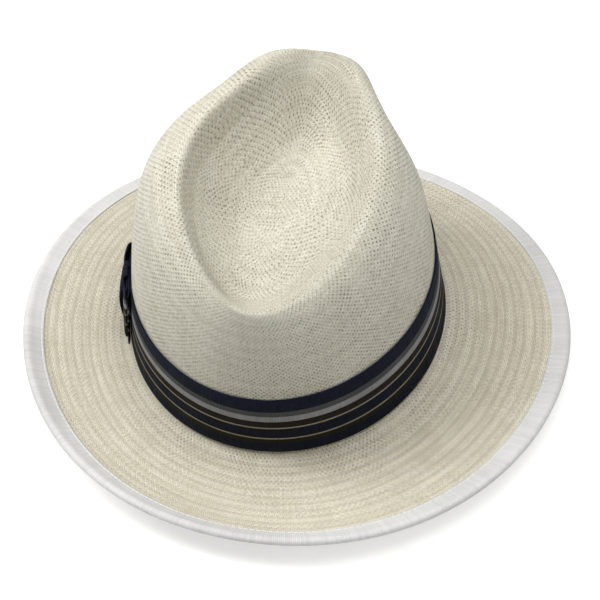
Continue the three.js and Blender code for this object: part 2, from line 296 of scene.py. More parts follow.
def straw_point(angle, stretch):
    """0..1 is the dented top, 1..2 the wall, 2..3 the corner and 3..4 the brim."""
    angle, stretch = np.broadcast_arrays(angle, stretch)
    lowest = FILLET_HEIGHT / crest_point(angle)[..., 2]
    down = np.clip(stretch - 1, 0, 1)
    choices = [
        top_point(angle, np.clip(stretch, 0, 1)),
        wall_point(angle, 1 - (1 - lowest) * down * down),
        corner_point(angle, np.clip(stretch - 2, 0, 1)),
        brim_point(angle, blend(FILLET_SHARE, 1, np.clip(stretch - 3, 0, 1))),
    ]
    which = np.clip(np.ceil(stretch) - 1, 0, 3).astype(int)
    return np.choose(which[..., None], choices)


def normal_from(point_at, angle, along):
    """The surface's normal, from small steps to either side round the hat and along it."""
    step = 0.002
    turned = point_at(angle + step, along) - point_at(angle - step, along)
    moved = point_at(angle, along + step) - point_at(angle, along - step)
    return unit(np.cross(turned, moved))


def on_straw(angle, stretch, depth):
    """depth is measured from the straw's outer side, positive outwards.

    The normals are taken a little inside both ends, where they are well defined.
    """
    angle, stretch, depth = np.broadcast_arrays(angle, stretch, depth)
    inside = np.clip(stretch, 0.05, 3.99)
    return straw_point(angle, stretch) + normal_from(straw_point, angle, inside) * depth[..., None]


def wall_at(angle, height):
    return wall_point(angle, height / crest_point(angle)[..., 2])


def on_wall(angle, height, depth):
    angle, height, depth = np.broadcast_arrays(angle, height, depth)
    return wall_at(angle, height) - normal_from(wall_at, angle, height) * depth[..., None]


def on_brim(angle, distance, depth):
    """distance runs along the brim from the brim break; past the edge it goes straight on."""
    angle, distance, depth = np.broadcast_arrays(angle, distance, depth)
    width = brim_width(angle)
    share = np.minimum(distance / width, 1)
    inside = np.minimum(share, 0.99)
    tangent = unit(brim_point(angle, inside) - brim_point(angle, inside - 0.01))
    point = brim_point(angle, share) + tangent * np.maximum(distance - width, 0)[..., None]
    return point + normal_from(brim_point, angle, inside) * depth[..., None]


def stand(points):
    """From the hat's own frame in mm to the row frame in metres, flat where the table is."""
    cos, sin = math.cos(STANDING_PITCH), math.sin(STANDING_PITCH)
    x, y, z = np.moveaxis(points, -1, 0)
    placed = stack(x, y * cos + z * sin, z * cos - y * sin) + np.array(OPENING_AT)
    placed[..., 2] = np.maximum(placed[..., 2], 0)
    return placed * MM


# ---- Meshes ----


def turns(count, start=0.0, sweep=2 * math.pi):
    return start + np.arange(count) * sweep / count


def grid_faces(rows, columns, wrap_rows, wrap_columns):
    """Quads between neighbours of a grid of vertices, as four index columns."""
    r = np.arange(rows if wrap_rows else rows - 1)[:, None]
    c = np.arange(columns if wrap_columns else columns - 1)[None, :]
    r2, c2 = (r + 1) % rows, (c + 1) % columns
    corners = [r * columns + c, r * columns + c2, r2 * columns + c2, r2 * columns + c]
    return np.stack([np.broadcast_to(k, (r.size, c.size)) for k in corners], -1).reshape(-1, 4)


def faces_outward(vertices, faces):
    """Whether the quads of a closed body turn their front sides outwards."""
    volume = 0.0
    for face in (faces[:, [0, 1, 2]], faces[:, [0, 2, 3]]):
        a, b, c = (vertices[face[:, k]] for k in range(3))
        volume += np.einsum("ij,ij->", a, np.cross(b, c))
    return volume >= 0


def add_mesh(name, vertices, faces):
    """A new mesh on a new object in the scene. Gives the object."""
    mesh = bpy.data.meshes.new(name)
    mesh.from_pydata(vertices, [], faces)
    made = bpy.data.objects.new(name, mesh)
    bpy.context.scene.collection.objects.link(made)
    return made


def add_uv(mesh, uv):
    """uv holds one pair for each face corner, in the mesh's order."""
    layer = mesh.uv_layers.new(name="cloth")
    layer.data.foreach_set("uv", np.asarray(uv, np.float32).ravel())


def solid(name, points, uv, wrap_rows=True):
    """A body from a grid of points (rows, columns, xyz) in metres, closed in its columns.

    It is closed in its rows too, unless wrap_rows is off: then its first and last row stay open.
    uv is a function of (row, column) arrays that gives two coordinates. Both can be one past the
    last, so that a map doesn't jump back at the seam.
    """
    rows, columns = points.shape[:2]
    vertices = points.reshape(-1, 3)
    faces = grid_faces(rows, columns, wrap_rows, True)
    r = faces[:, 0] // columns
    c = faces[:, 0] % columns
    corner_rows = np.stack([r, r, r + 1, r + 1], -1)
    corner_columns = np.stack([c, c + 1, c + 1, c], -1)
    order = slice(None) if faces_outward(vertices, faces) else slice(None, None, -1)
    piece = add_mesh(name, vertices.tolist(), faces[:, order].tolist())
    piece.data.polygons.foreach_set("use_smooth", [True] * len(faces))
    add_uv(piece.data, np.stack(uv(corner_rows[:, order], corner_columns[:, order]), -1))
    piece.data.update()
    return piece


def finish_piece(piece, material, replaced=()):
    """Gives the piece its material and its body, and hides the CAD nodes it stands for."""
    piece.data.materials.append(material)
    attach(piece, "root")
    if replaced:
        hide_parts(*replaced)
    return piece


# ---- Node materials ----


class Shader:
    """Builds one node material. Every input may be a number, a colour or another node's socket."""

    def __init__(self, name, **fixed):
        self.material = bpy.data.materials.new(name)
        self.material.use_nodes = True
        self.tree = self.material.node_tree
        self.surface = self.tree.nodes["Principled BSDF"]
        for key, value in fixed.items():
            self.surface.inputs[key.replace("_", " ")].default_value = value

    def feed(self, socket, value):
        if isinstance(value, bpy.types.NodeSocket):
            self.tree.links.new(value, socket)
        else:
            socket.default_value = value

    def node(self, kind, inputs=None, **settings):
        made = self.tree.nodes.new(kind)
        for key, value in settings.items():
            setattr(made, key, value)
        for key, value in (inputs or {}).items():
            self.feed(made.inputs[key], value)
        return made

    def math(self, operation, *values):
        made = self.node("ShaderNodeMath", dict(enumerate(values)), operation=operation)
        return made.outputs[0]

    def pick(self, share, low, high):
        """A number between low and high."""
        return self.node("ShaderNodeMix", {0: share, 2: low, 3: high}).outputs[0]

    def tint(self, share, low, high, how="MIX"):
        """A colour between low and high."""
        made = self.node("ShaderNodeMix", data_type="RGBA", blend_type=how)
        self.feed(made.inputs[0], share)
        self.feed(made.inputs[6], low if isinstance(low, bpy.types.NodeSocket) else (*low, 1))
        self.feed(made.inputs[7], high if isinstance(high, bpy.types.NodeSocket) else (*high, 1))
        return made.outputs[2]

    def ease(self, value, start, end, low=0.0, high=1.0):
        """value from start to end becomes low to high, smoothly, and stays there outside."""
        inputs = {0: value, 1: start, 2: end, 3: low, 4: high}
        return self.node("ShaderNodeMapRange", inputs, interpolation_type="SMOOTHSTEP").outputs[0]

    def point(self, *coordinates):
        return self.node("ShaderNodeCombineXYZ", dict(enumerate(coordinates))).outputs[0]

    def random(self, *coordinates):
        """A number from 0 to 1 that is the same all over each cell."""
        return self.node("ShaderNodeTexWhiteNoise", {0: self.point(*coordinates)}).outputs[0]

    def noise(self, place, scale, detail=2.0, roughness=0.5):
        inputs = {"Vector": place, "Scale": scale, "Detail": detail, "Roughness": roughness}
        return self.node("ShaderNodeTexNoise", inputs).outputs[0]

    def cloth_uv(self):
        """The mesh's own two coordinates, whose units each piece sets."""
        uv = self.node("ShaderNodeUVMap", uv_map="cloth").outputs[0]
        return self.node("ShaderNodeSeparateXYZ", {0: uv}).outputs[:2]

    def place(self):
        return self.node("ShaderNodeTexCoord").outputs["Object"]

    def bump(self, height, distance, strength=1.0):
        inputs = {"Strength": strength, "Distance": distance, "Height": height}
        self.feed(self.surface.inputs["Normal"], self.node("ShaderNodeBump", inputs).outputs[0])

    def colour(self, value):
        self.feed(self.surface.inputs["Base Color"], value)

    def roughness(self, value):
        self.feed(self.surface.inputs["Roughness"], value)


TWILL_REPEAT = 4
BAND_ROWS = 6
ROUND_STRAW_RUN = 19
RADIAL_STRAW_RUN = 11
# Painted shade in the grooves between the bands: how narrow it is, and how strong in the crown and on
# the brim
GROOVE_SHARPNESS = 6
GROOVE_SHADE_IN_CROWN = 0.05
GROOVE_SHADE_ON_BRIM = 0.3
HOLE_ROWS = 2
HOLE_SIZE = 0.34
HOLE_SIZE_SPREAD = 0.28
HOLE_DEPTH = 0.8
HOLE_DEPTH_SPREAD = 0.2
HOLE_SHARE_ON_BRIM = 0.35
HOLE_FADE_ROWS = 45
HOLE_SEED = 7
STRAW_LIGHT = (0.97, 0.94, 0.80)
STRAW_DARK = (0.76, 0.72, 0.575)
# The colour of the painted shade in the grooves between the bands
STRAW_GROOVE_SHADE = (0.45, 0.41, 0.32)
STRAW_WARMTH = (1.0, 0.975, 0.94)
STRAW_SHADOW = (0.13, 0.11, 0.075)


def straw_material():
    """Two-over-two twill in herringbone bands, with painted shade in the grooves between the bands,
    between the strands and in the small holes.

    u and v count strands round the hat and rows outwards. A straw that lies on top runs either
    radially or round the hat; it arches between the places where it dips, and keeps one tone for a
    run of strands or rows.
    """
    s = Shader("woven_straw", Specular_IOR_Level=0.3, Sheen_Weight=0.05)
    u, v = s.cloth_uv()
    strand, row = s.math("FLOOR", u), s.math("FLOOR", v)
    over_u, over_v = s.math("FRACT", u), s.math("FRACT", v)
    zigzag = s.math("PINGPONG", row, BAND_ROWS)
    phase = s.math("FLOORED_MODULO", s.math("ADD", strand, zigzag), TWILL_REPEAT)
    radial = s.math("LESS_THAN", phase, TWILL_REPEAT / 2 - 0.5)
    turning = s.math("FLOORED_MODULO", row, 2 * BAND_ROWS)
    falling = s.math("GREATER_THAN", turning, BAND_ROWS - 0.5)
    along_v = s.math("ABSOLUTE", s.math("SUBTRACT", falling, over_v))
    ring_start = s.math("SUBTRACT", phase, TWILL_REPEAT / 2)
    along = s.pick(radial, s.math("ADD", ring_start, over_u), s.math("ADD", phase, along_v))
    across = s.pick(radial, over_v, over_u)
    arch = s.math("SUBTRACT", 1, s.math("POWER", s.math("ABSOLUTE", s.math("SUBTRACT", along, 1)), 2))
    off_middle = s.math("ABSOLUTE", s.math("MULTIPLY_ADD", across, 2, -1))
    edge = s.math("SUBTRACT", 1, s.math("POWER", off_middle, 4))
    height = s.math("MULTIPLY", edge, s.math("MULTIPLY_ADD", arch, 0.65, 0.35))

    strand_id = s.pick(radial, s.math("FLOOR", s.math("DIVIDE", u, ROUND_STRAW_RUN)), strand)
    row_id = s.pick(radial, row, s.math("FLOOR", s.math("DIVIDE", v, RADIAL_STRAW_RUN)))
    own_tone = s.random(strand_id, row_id, radial)
    patchy = s.noise(s.place(), 45, 3)
    tone = s.math("ADD", s.math("MULTIPLY", own_tone, 0.6), s.math("MULTIPLY", patchy, 0.5))
    # Painted light: the bands that slant one way are coloured a little darker than the others, as the
    # light catches the two slants differently
    tone = s.math("SUBTRACT", tone, s.math("MULTIPLY", falling, 0.12))
    colour = s.tint(s.ease(tone, 0.1, 0.9), STRAW_DARK, STRAW_LIGHT)
    # Painted shade: the grooves between the bands are coloured darker, a little in the crown and more
    # on the brim
    band_turn = s.math("MULTIPLY", v, math.pi / BAND_ROWS)
    groove_shade = s.math("POWER", s.math("ABSOLUTE", s.math("COSINE", band_turn)), GROOVE_SHARPNESS)
    last_crown_row, first_grooved_row = BRIM_FIRST_ROW - 20, BRIM_FIRST_ROW + 10
    clear = s.ease(v, last_crown_row, first_grooved_row, GROOVE_SHADE_IN_CROWN, GROOVE_SHADE_ON_BRIM)
    colour = s.tint(s.math("MULTIPLY", groove_shade, clear), colour, STRAW_GROOVE_SHADE)
    on_brim = s.ease(v, BRIM_FIRST_ROW, BRIM_FIRST_ROW + 20)
    colour = s.tint(on_brim, colour, STRAW_WARMTH, "MULTIPLY")
    gap = s.ease(height, 0.05, 0.7, 0.85, 0.0)
    shadow = s.math("MAXIMUM", gap, straw_holes(s, u, v))
    s.colour(s.tint(shadow, colour, STRAW_SHADOW))
    s.roughness(s.ease(own_tone, 0, 1, 0.5, 0.68))
    s.bump(s.math("MULTIPLY", height, s.math("SUBTRACT", 1, shadow)), 0.0006, 0.85)
    return s.material


def straw_holes(s, u, v):
    """How dark the small holes are: one for each twill repeat, each row of them half a repeat on."""
    row_of = s.math("DIVIDE", v, HOLE_ROWS)
    staggered = s.math("MULTIPLY", s.math("FLOORED_MODULO", s.math("FLOOR", row_of), 2), 0.5)
    column_of = s.math("ADD", s.math("DIVIDE", u, TWILL_REPEAT), staggered)
    from_u = s.math("MULTIPLY", s.math("SUBTRACT", s.math("FRACT", column_of), 0.5), TWILL_REPEAT)
    from_v = s.math("MULTIPLY", s.math("SUBTRACT", s.math("FRACT", row_of), 0.5), HOLE_ROWS)
    away = s.math("SQRT", s.math("ADD", s.math("POWER", from_u, 2), s.math("POWER", from_v, 2)))
    chance = s.random(s.math("FLOOR", column_of), s.math("FLOOR", row_of), HOLE_SEED)
    size = s.math("MULTIPLY_ADD", chance, HOLE_SIZE_SPREAD, HOLE_SIZE)
    depth = s.math("MULTIPLY_ADD", s.math("POWER", chance, 5), HOLE_DEPTH_SPREAD, HOLE_DEPTH)
    patch = s.ease(s.noise(s.place(), 30, 2), 0.35, 0.6, 0.6, 1.0)
    inside = s.ease(s.math("SUBTRACT", away, size), -0.1, 0.25, 1.0, 0.0)
    last_faded_row = BRIM_FIRST_ROW + HOLE_FADE_ROWS
    share = s.ease(v, BRIM_FIRST_ROW, last_faded_row, 1.0, HOLE_SHARE_ON_BRIM)
    return s.math("MULTIPLY", s.math("MULTIPLY", inside, depth), s.math("MULTIPLY", patch, share))


NAVY = (0.0062, 0.0088, 0.021)
BROWN = (0.017, 0.0125, 0.0105)
OLIVE = (0.015, 0.0145, 0.0075)
GOLD = (0.33, 0.3, 0.21)
SLATE = (0.075, 0.078, 0.08)
PALE_GREY = (0.29, 0.29, 0.295)
STRIPES = (
    (0.0, NAVY),
    (0.17, OLIVE),
    (0.25, GOLD),
    (0.272, NAVY),
    (0.455, GOLD),
    (0.477, BROWN),
    (0.59, PALE_GREY),
    (0.69, SLATE),
    (0.78, NAVY),
)
RIB_MM = 0.9
FIBRE_STRETCH = 0.35
FIBRE_SCALE = 2.2
BINDING_LIGHT = (0.68, 0.675, 0.665)
BINDING_DARK = (0.54, 0.535, 0.525)
CLOTH_LIGHT = (0.78, 0.74, 0.64)
CLOTH_DARK = (0.56, 0.5, 0.39)
CLOTH_LINE_MM = 1.3
CLOTH_CROSS_MM = 0.6
THREAD_LIGHT = (0.86, 0.85, 0.8)
THREAD_DARK = (0.62, 0.6, 0.53)
STEEL_LIGHT = (0.62, 0.62, 0.61)
STEEL_DARK = (0.42, 0.42, 0.41)


def ribbed(s, along_mm, across_mm, depth):
    """Grosgrain ribs across the ribbon. Gives the rib's height and a number for each rib."""
    swing = s.math("SINE", s.math("MULTIPLY", along_mm, 2 * math.pi / RIB_MM))
    stretched = s.point(along_mm, s.math("MULTIPLY", across_mm, FIBRE_STRETCH), 0)
    fine = s.noise(stretched, FIBRE_SCALE, 2)
    height = s.math("ADD", swing, fine)
    s.bump(height, depth, 0.8)
    return height, s.random(s.math("FLOOR", s.math("DIVIDE", along_mm, RIB_MM)), 0, 0)


def striped_material():
    """The hat band's grosgrain. u is mm along the ribbon and v is 0 to 1 across it."""
    s = Shader("striped_grosgrain", Specular_IOR_Level=0.12)
    u, v = s.cloth_uv()
    height, rib = ribbed(s, u, s.math("MULTIPLY", v, BAND_HEIGHT), 0.00014)
    stripes = s.node("ShaderNodeValToRGB", {0: v})
    stripes.color_ramp.interpolation = "CONSTANT"
    stops = stripes.color_ramp.elements
    for number, (start, colour) in enumerate(STRIPES):
        stop = stops[number] if number < 2 else stops.new(start)
        stop.position = start
        stop.color = (*colour, 1)
    worn = s.math("MULTIPLY_ADD", s.noise(s.place(), 60, 3), 0.5, 0.75)
    # Painted light and shade: the colour follows the ribs' height, lighter on their tops and darker
    # between them, times the wear and each rib's own tone
    lit = s.math("MULTIPLY", worn, s.ease(height, -1.2, 1.4, 0.7, 1.2))
    lit = s.math("MULTIPLY", lit, s.math("MULTIPLY_ADD", rib, 0.16, 0.92))
    s.colour(s.tint(1.0, stripes.outputs[0], s.point(lit, lit, lit), "MULTIPLY"))
    s.roughness(s.ease(rib, 0, 1, 0.7, 0.85))
    return s.material


def binding_material():
    """A plain light grosgrain; u and v are mm along and across it."""
    s = Shader("binding_grosgrain", Specular_IOR_Level=0.3, Sheen_Weight=0.1)
    u, v = s.cloth_uv()
    height, rib = ribbed(s, u, v, 0.0001)
    stain = s.noise(s.place(), 22, 4, 0.6)
    tone = s.math("ADD", s.math("MULTIPLY", stain, 0.75), s.math("MULTIPLY", rib, 0.2))
    # Painted light and shade: the colour follows the ribs' height, lighter on their tops and darker
    # between them
    tone = s.math("ADD", tone, s.math("MULTIPLY", height, 0.06))
    s.colour(s.tint(s.ease(tone, 0.2, 0.8), BINDING_DARK, BINDING_LIGHT))
    s.roughness(s.ease(stain, 0.2, 0.8, 0.6, 0.8))
    return s.material


def twill_cloth_material():
    """Cotton twill for the sweatband; u and v are mm along and across it."""
    s = Shader("cotton_twill", Specular_IOR_Level=0.25, Sheen_Weight=0.15)
    u, v = s.cloth_uv()
    slanted = s.math("ADD", s.math("MULTIPLY", u, 1.2), s.math("MULTIPLY", v, 1.9))
    line = s.math("SINE", s.math("MULTIPLY", slanted, 2 * math.pi / CLOTH_LINE_MM))
    crossing = s.math("SUBTRACT", u, v)
    cross = s.math("SINE", s.math("MULTIPLY", crossing, 2 * math.pi / CLOTH_CROSS_MM))
    height = s.math("MULTIPLY_ADD", cross, 0.35, line)
    stain = s.noise(s.place(), 30, 4, 0.6)
    # Painted light and shade: the twill's raised lines are coloured lighter and the hollows between
    # them darker, on top of the stains
    tone = s.math("MULTIPLY_ADD", height, 0.09, stain)
    s.colour(s.tint(s.ease(tone, 0.2, 0.8), CLOTH_DARK, CLOTH_LIGHT))
    s.roughness(s.ease(stain, 0.2, 0.8, 0.75, 0.9))
    s.bump(height, 0.00012, 0.7)
    return s.material


def thread_material():
    """Twisted sewing thread."""
    s = Shader("sewing_thread", Specular_IOR_Level=0.35, Sheen_Weight=0.1)
    fibre = s.noise(s.place(), 2500, 2)
    s.colour(s.tint(fibre, THREAD_DARK, THREAD_LIGHT))
    s.roughness(s.ease(fibre, 0.3, 0.7, 0.5, 0.7))
    s.bump(fibre, 0.0001, 0.6)
    return s.material


def steel_material():
    """Drawn spring steel for the brim's wire."""
    s = Shader("spring_steel", Metallic=1.0)
    drawn = s.noise(s.place(), 900, 3)
    s.colour(s.tint(drawn, STEEL_DARK, STEEL_LIGHT))
    s.roughness(s.ease(drawn, 0.3, 0.7, 0.25, 0.42))
    s.bump(drawn, 0.00003, 0.5)
    return s.material


# ---- Straw body ----

STRAW_COLUMNS = 280
ROWS_PER_LINE = 2
CROWN_ROW_MM = 0.71
BRIM_ROW_MM = 0.81
CROWN_STRAND_MM = 0.8
TIP_ROWS = 24
TIP_CROWDING = 0.93
FEWEST_REPEATS = 3
BRIM_FIRST_ROW = 266
STRETCH_END = 4
CORNER_MIDDLE = 2.5
LINE_SAMPLES = 1601
TURN_SAMPLES = 48
CROWN_RIDGE = 0.04
BRIM_RIDGE = 0.18

# Multiples of the twill repeat, so that the pattern closes round the hat
WALL_STRANDS = 692
BRIM_STRANDS = 1112


def straw_lines():
    """The stretch and the row count of each line of vertices, evenly spaced along the straw."""
    fine = np.linspace(0, STRETCH_END, LINE_SAMPLES)
    points = straw_point(turns(TURN_SAMPLES)[None, :], fine[:, None])
    gaps = np.linalg.norm(np.diff(points, axis=0), axis=-1).mean(axis=1)
    pitch = np.where(fine[1:] <= CORNER_MIDDLE, CROWN_ROW_MM, BRIM_ROW_MM)
    counted = np.concatenate([[0], np.cumsum(gaps / pitch)])
    rows = np.arange(ROWS_PER_LINE, counted[-1], ROWS_PER_LINE)
    stretches = np.append(np.interp(rows, counted, fine), STRETCH_END)
    return stretches, np.append(rows, counted[-1])


def strands_in(stretch, row):
    """How many strands go round there: fewer in the top, one number for the wall, more in the brim."""
    if stretch > CORNER_MIDDLE:
        return BRIM_STRANDS
    if stretch > 1:
        return WALL_STRANDS
    band = math.floor(row / BAND_ROWS) + 0.5
    round_mm = 2 * math.pi * band * BAND_ROWS * CROWN_ROW_MM * TIP_CROWDING
    repeats = round(round_mm / (CROWN_STRAND_MM * TWILL_REPEAT))
    return min(WALL_STRANDS, TWILL_REPEAT * max(repeats, FEWEST_REPEATS))


def straw_relief(angle, stretch, row):
    """Low ridges along the bands, and the slight unevenness of straw shaped by hand, in mm."""
    out = np.clip(stretch - 3, 0, 1)
    ridge = CROWN_RIDGE + BRIM_RIDGE * out
    bands = -ridge * np.cos(row * 2 * math.pi / BAND_ROWS)
    wavy = 0.35 * np.sin(7 * angle + 1) + 0.2 * np.sin(13 * angle + stretch * 5)
    uneven = 0.16 * np.sin(9 * angle + 7 * stretch) * np.sin(5 * angle - 11 * stretch)
    return bands + wavy * out**2 * (1 - out) * 2 + uneven * np.clip(stretch * 2, 0, 1)


def straw_body():
    """The woven body as one shell. Its seam is at the front, where the angle is 180 degrees.

    The map's u and v count strands and rows, except in the middle of the top: there the map is
    square, since rings of so few strands would show as a swirl.
    """
    stretches, rows = straw_lines()
    angle = turns(STRAW_COLUMNS, math.pi)[None, :]
    relief = straw_relief(angle, stretches[:, None], rows[:, None])
    outer = on_straw(angle, stretches[:, None], relief)
    inner = on_straw(angle, stretches[:, None], relief - STRAW_THICKNESS)
    points = stand(np.concatenate([outer, inner[::-1]]))
    counts = [strands_in(s, r) for s, r in zip(stretches[1:], (rows[1:] + rows[:-1]) / 2)]
    counts = np.array(counts + [BRIM_STRANDS] + counts[::-1])
    row_at = np.concatenate([rows, rows[::-1]])

    def uv(line, column):
        face_line = line.min(axis=1, keepdims=True)
        turn = column / STRAW_COLUMNS
        round_u, round_v = turn * counts[face_line], row_at[line]
        radius = row_at[line] * CROWN_ROW_MM
        square_u = radius * np.sin(2 * math.pi * turn) / CROWN_STRAND_MM
        square_v = radius * np.cos(2 * math.pi * turn) / CROWN_ROW_MM
        in_tip = row_at[face_line] < TIP_ROWS
        return np.where(in_tip, square_u, round_u), np.where(in_tip, square_v, round_v)

    piece = solid("straw_weave", points, uv, wrap_rows=False)
    close_poles(piece, [0, len(points) - 1], STRAW_COLUMNS)
    return finish_piece(piece, straw_material(), ["straw_body"])


def close_poles(piece, lines, columns):
    """Fills the small ring of vertices at the tip, outside and inside, with one face each."""
    mesh = piece.data
    rings = [list(range(line * columns, (line + 1) * columns)) for line in lines]
    shell = bmesh.new()
    shell.from_mesh(mesh)
    shell.verts.ensure_lookup_table()
    cloth = shell.loops.layers.uv["cloth"]
    for ring in rings:
        edge_face = shell.verts[ring[0]].link_faces[0]
        face = shell.faces.new([shell.verts[k] for k in ring])
        face.smooth = True
        face.normal_update()
        if face.normal.dot(edge_face.normal) < 0:
            face.normal_flip()
        for corner in face.loops:
            beside = next(loop for loop in corner.vert.link_loops if loop.face is not face)
            corner[cloth].uv = beside[cloth].uv
    shell.to_mesh(mesh)
    shell.free()


# ---- Brim binding ----

BINDING_COLUMNS = 360
BINDING_WIDTH = 8.2
STITCH_INSET = 1.2
STITCH_LENGTH = 2.1
STITCH_SPACING = 2.9
STITCH_RADIUS = 0.22
STITCH_SPREAD = 1.3
STITCH_LIFT = 0.12
STITCHES_ABOVE = 0.55
STITCHES_BELOW = -1.8


def binding_profile():
    """(distance past the brim's edge, depth) of the folded ribbon's section, in mm."""
    upper_inner = 0.12
    upper = [(-BINDING_WIDTH, 0.62), (-7.6, 0.74), (-7, 0.58), (-6.2, 0.72), (-5, 0.8)]
    upper += [(-3.4, 0.9), (-1.9, 1.2), (-0.4, 1.42), (0.9, 1.2), (1.9, 0.5), (2.3, -0.5)]
    upper += [(1.9, -1.6), (0.7, -2.3), (-0.8, -2.35), (-3, -2.0), (-5, -1.85), (-6.2, -1.8)]
    upper += [(-7, -1.72), (-7.6, -1.85), (-BINDING_WIDTH, -1.78)]
    inner = [(-BINDING_WIDTH, -1.3), (-4, -1.3), (0, -1.3), (1.2, -0.6), (0, upper_inner)]
    inner += [(-4, upper_inner), (-BINDING_WIDTH, upper_inner)]
    return np.array(upper + inner, float)


def brim_binding():
    profile = binding_profile()
    angle = turns(BINDING_COLUMNS)[None, :]
    distance = brim_width(angle) + profile[:, 0:1]
    points = stand(on_brim(angle, distance, profile[:, 1:2]))
    lengths = np.concatenate([[0], np.cumsum(np.linalg.norm(np.diff(profile, axis=0), axis=1))])
    lengths = np.append(lengths, lengths[-1])
    round_mm = 2 * math.pi * (HEAD_HALF_WIDTH + HEAD_HALF_LENGTH) / 2 + 2 * math.pi * BRIM_WIDTH

    def uv(line, column):
        return column / BINDING_COLUMNS * round_mm, lengths[line]

    piece = solid("binding_ribbon", points, uv)
    finish_piece(piece, binding_material(), ["brim_binding"])
    return piece


def stitch_ring(name, inset, depth, material, count):
    """A row of short thread stitches round the brim, inset from the binding's inner edge."""
    sides, lines = 6, 5
    along = np.linspace(-0.5, 0.5, lines)
    bulge = np.sqrt(np.maximum(1 - (2 * along) ** 4, 0.05))[:, None]
    spin = turns(sides)
    vertices, faces = [], []
    for number, middle in enumerate(turns(count)):
        width = brim_width(middle)
        radius = (HEAD_HALF_WIDTH + HEAD_HALF_LENGTH) / 2 + width + inset
        angles = middle + along * STITCH_LENGTH / radius
        sideways = STITCH_RADIUS * STITCH_SPREAD * bulge * np.cos(spin)
        distance = brim_width(angles)[:, None] + inset + sideways
        height = depth + STITCH_RADIUS * bulge * np.sin(spin) + STITCH_LIFT * bulge
        points = stand(on_brim(angles[:, None], distance, height))
        base = number * lines * sides
        vertices.append(points.reshape(-1, 3))
        faces += (grid_faces(lines, sides, False, True) + base).tolist()
        faces.append([base + k for k in range(sides)][::-1])
        faces.append([base + (lines - 1) * sides + k for k in range(sides)])
    piece = add_mesh(name, np.vstack(vertices).tolist(), faces)
    piece.data.polygons.foreach_set("use_smooth", [True] * len(faces))
    piece.data.update()
    return finish_piece(piece, material)


def binding_stitches(material):
    inset = STITCH_INSET - BINDING_WIDTH
    round_mm = 2 * math.pi * ((HEAD_HALF_WIDTH + HEAD_HALF_LENGTH) / 2 + BRIM_WIDTH + inset)
    count = round(round_mm / STITCH_SPACING)
    stitch_ring("binding_stitches_above", inset, STITCHES_ABOVE, material, count)
    stitch_ring("binding_stitches_below", inset, STITCHES_BELOW, material, count)


# ---- Bands round the crown ----


BAND_COLUMNS = 240


def wall_ring(name, profile):
    """A closed ring from a section of (depth, height) points on the crown's wall; u and v are mm."""
    angle = turns(BAND_COLUMNS)[None, :]
    points = stand(on_wall(angle, profile[:, 1:2], profile[:, 0:1]))
    heights = np.append(profile[:, 1], profile[0, 1])

    def uv(line, column):
        return column / BAND_COLUMNS * HEAD_ROUND_MM, heights[line]

    return solid(name, points, uv)


def band_section(bottom, height, inside, thickness):
    """The section of a ribbon standing on edge: up its outside and down its inside."""
    heights = bottom + height * np.linspace(0, 1, len(inside))
    up = np.stack([inside + thickness, heights], -1)
    down = np.stack([inside, heights], -1)[::-1]
    return np.vstack([up, down])


def hatband(material):
    """The ribbon round the crown. Its two edges stand off a little, and v is made 0 to 1 across it."""
    rows = np.linspace(0, 1, 13)
    proud = 0.28 + 0.25 * bell(rows, 0.1) + 0.12 * bell(1 - rows, 0.06)
    piece = wall_ring("hatband_ribbon", band_section(BAND_BOTTOM, BAND_HEIGHT, proud, RIBBON))
    uv = piece.data.uv_layers["cloth"].data
    pairs = np.zeros(len(uv) * 2, np.float32)
    uv.foreach_get("uv", pairs)
    pairs[1::2] = (pairs[1::2] - BAND_BOTTOM) / BAND_HEIGHT
    uv.foreach_set("uv", pairs)
    finish_piece(piece, material, ["hatband"])


def sweatband(material):
    """The cloth band inside the crown, its lower edge rolled round a reed."""
    rows = np.linspace(0, 1, 11)
    slack = -0.25 * np.sin(rows * math.pi)
    inside = -STRAW_THICKNESS - SWEATBAND_GAP - SWEATBAND_THICKNESS + slack
    section = band_section(SWEATBAND_BOTTOM, SWEATBAND_HEIGHT, inside, SWEATBAND_THICKNESS)
    piece = wall_ring("sweatband_cloth", section)
    finish_piece(piece, material, ["sweatband"])

    turn = turns(12)
    middle = -STRAW_THICKNESS - SWEATBAND_GAP - SWEATBAND_THICKNESS / 2
    depths = middle + REED_RADIUS * np.cos(turn)
    heights = REED_HEIGHT + REED_RADIUS * np.sin(turn)
    roll = wall_ring("sweatband_roll", np.stack([depths, heights], -1))
    finish_piece(roll, material, ["sweatband_reed"])


# ---- Strips of ribbon: the bow, and the small bow inside ----


def slab(name, top, bottom, uv):
    """A thin closed body between two grids of points, with one pair of coordinates for each point."""
    rows, columns = top.shape[:2]
    count = rows * columns
    quads = grid_faces(rows, columns, False, False)
    index = np.arange(count).reshape(rows, columns)
    edge = np.concatenate([index[0, :-1], index[:-1, -1], index[-1, :0:-1], index[:0:-1, 0]])
    after = np.roll(edge, -1)
    sides = np.stack([after, edge, edge + count, after + count], -1)
    faces = np.vstack([quads, quads[:, ::-1] + count, sides])
    vertices = np.vstack([top.reshape(-1, 3), bottom.reshape(-1, 3)])
    if not faces_outward(vertices, faces):
        faces = faces[:, ::-1]
    piece = add_mesh(name, vertices.tolist(), faces.tolist())
    flat_sides = [True] * (2 * len(quads)) + [False] * len(sides)
    piece.data.polygons.foreach_set("use_smooth", flat_sides)
    add_uv(piece.data, np.vstack([uv.reshape(-1, 2)] * 2)[faces.ravel()])
    piece.data.update()
    return piece


def smooth_line(points, samples=60):
    """A Catmull-Rom curve through the points."""
    points = np.array(points, float)
    ends = (2 * points[0] - points[1], 2 * points[-1] - points[-2])
    padded = np.vstack([ends[0], points, ends[1]])
    place = np.linspace(0, len(points) - 1.001, samples)
    first = place.astype(int)
    t = (place - first)[:, None]
    a, b, c, d = (padded[first + k] for k in range(4))
    return b + 0.5 * t * (c - a + t * (2 * a - 5 * b + 4 * c - d + t * (3 * (b - c) + d - a)))


